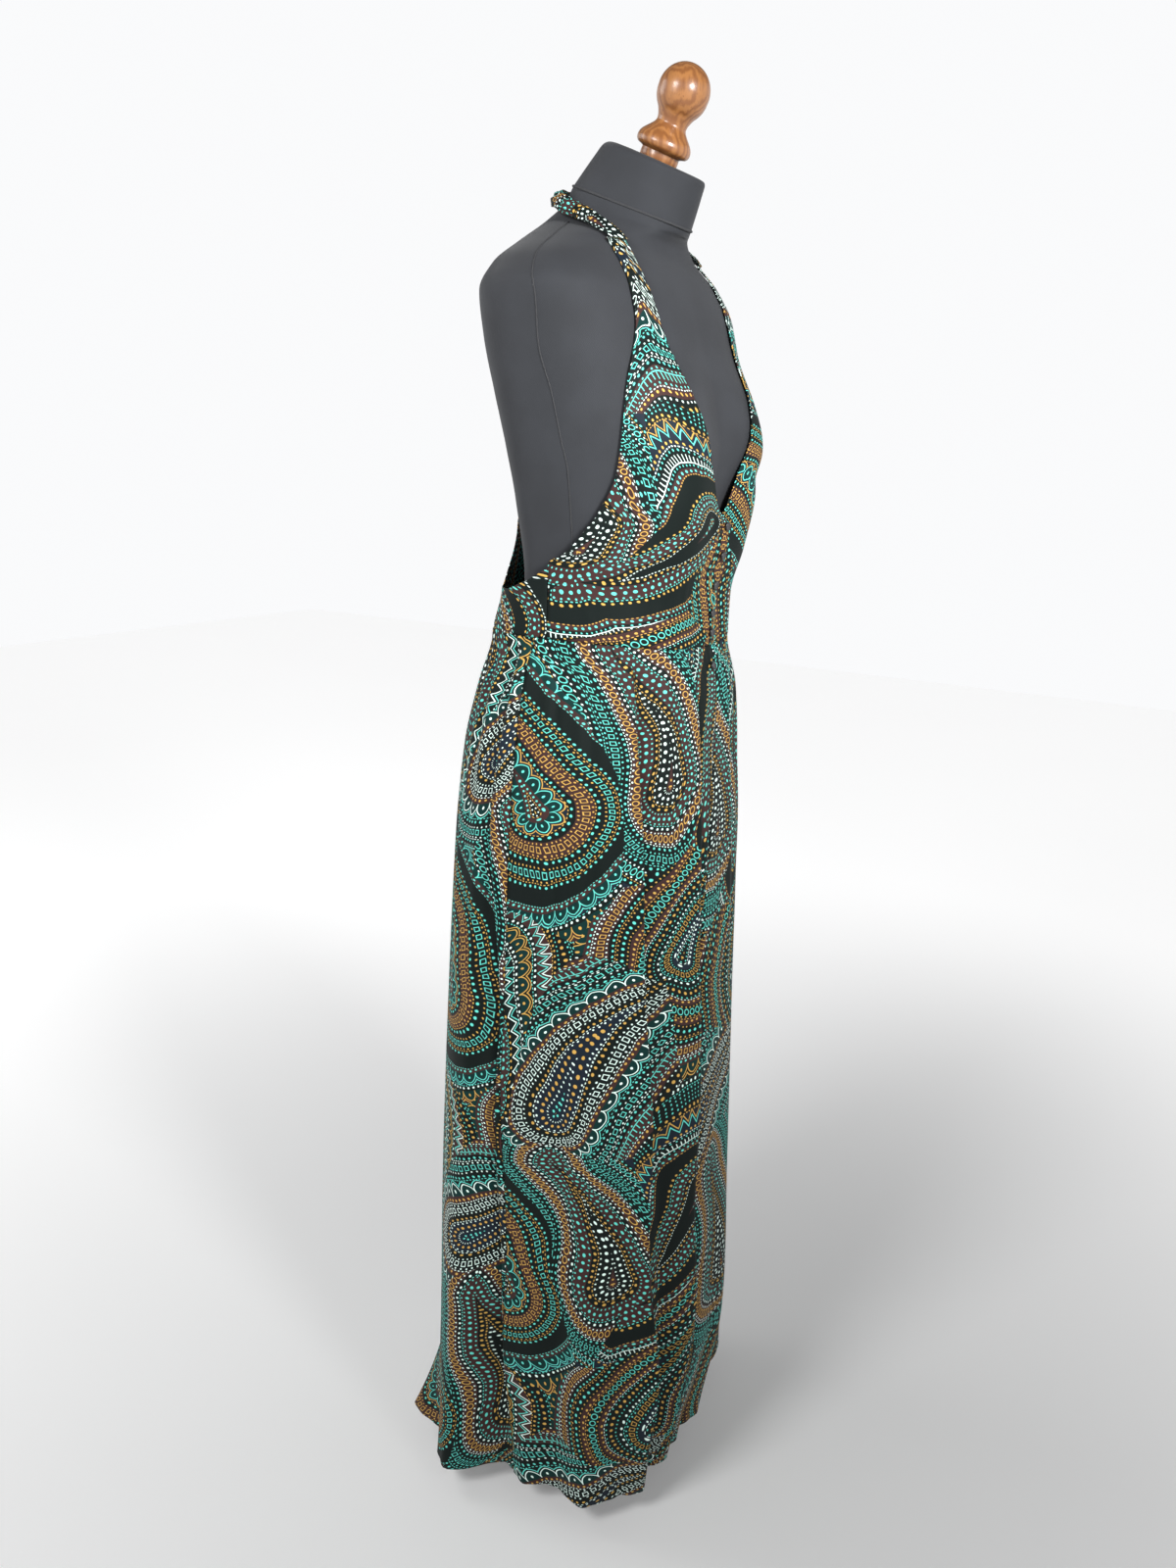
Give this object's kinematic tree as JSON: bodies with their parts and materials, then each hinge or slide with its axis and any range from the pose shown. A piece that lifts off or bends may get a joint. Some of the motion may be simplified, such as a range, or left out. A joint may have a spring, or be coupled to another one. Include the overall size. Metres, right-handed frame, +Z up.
{
  "type": "halter dress on a limbless dress form with a stand",
  "caption": "Long printed halter dress with a deep V neck, low back and fluted skirt, hanging on a dress form with a turned finial and a round foot.",
  "frame": {"origin": "on the floor at the centre of the stand's round base", "axes": "+X is the wearer's left, -Y is the front of the dress, +Z is up"},
  "size_m": [0.3716, 0.3881, 1.5515],
  "materials": {
    "print": "matt",
    "jersey": "matt",
    "wood": "satin varnish",
    "button": "satin",
    "steel": "satin black"
  },
  "bodies": {
    "root": {"bodice_front_right": "print", "bodice_front_left": "print", "bodice_back": "print", "skirt_front_right": "print", "skirt_front_left": "print", "skirt_back": "print", "neck_strap": "print", "button_1": "button", "button_2": "button", "button_3": "button", "button_4": "button", "button_5": "button", "button_6": "button", "form_torso": "jersey", "form_neck": "jersey", "finial": "wood", "stand_pole": "steel", "stand_base": "steel"}
  },
  "joints": []
}
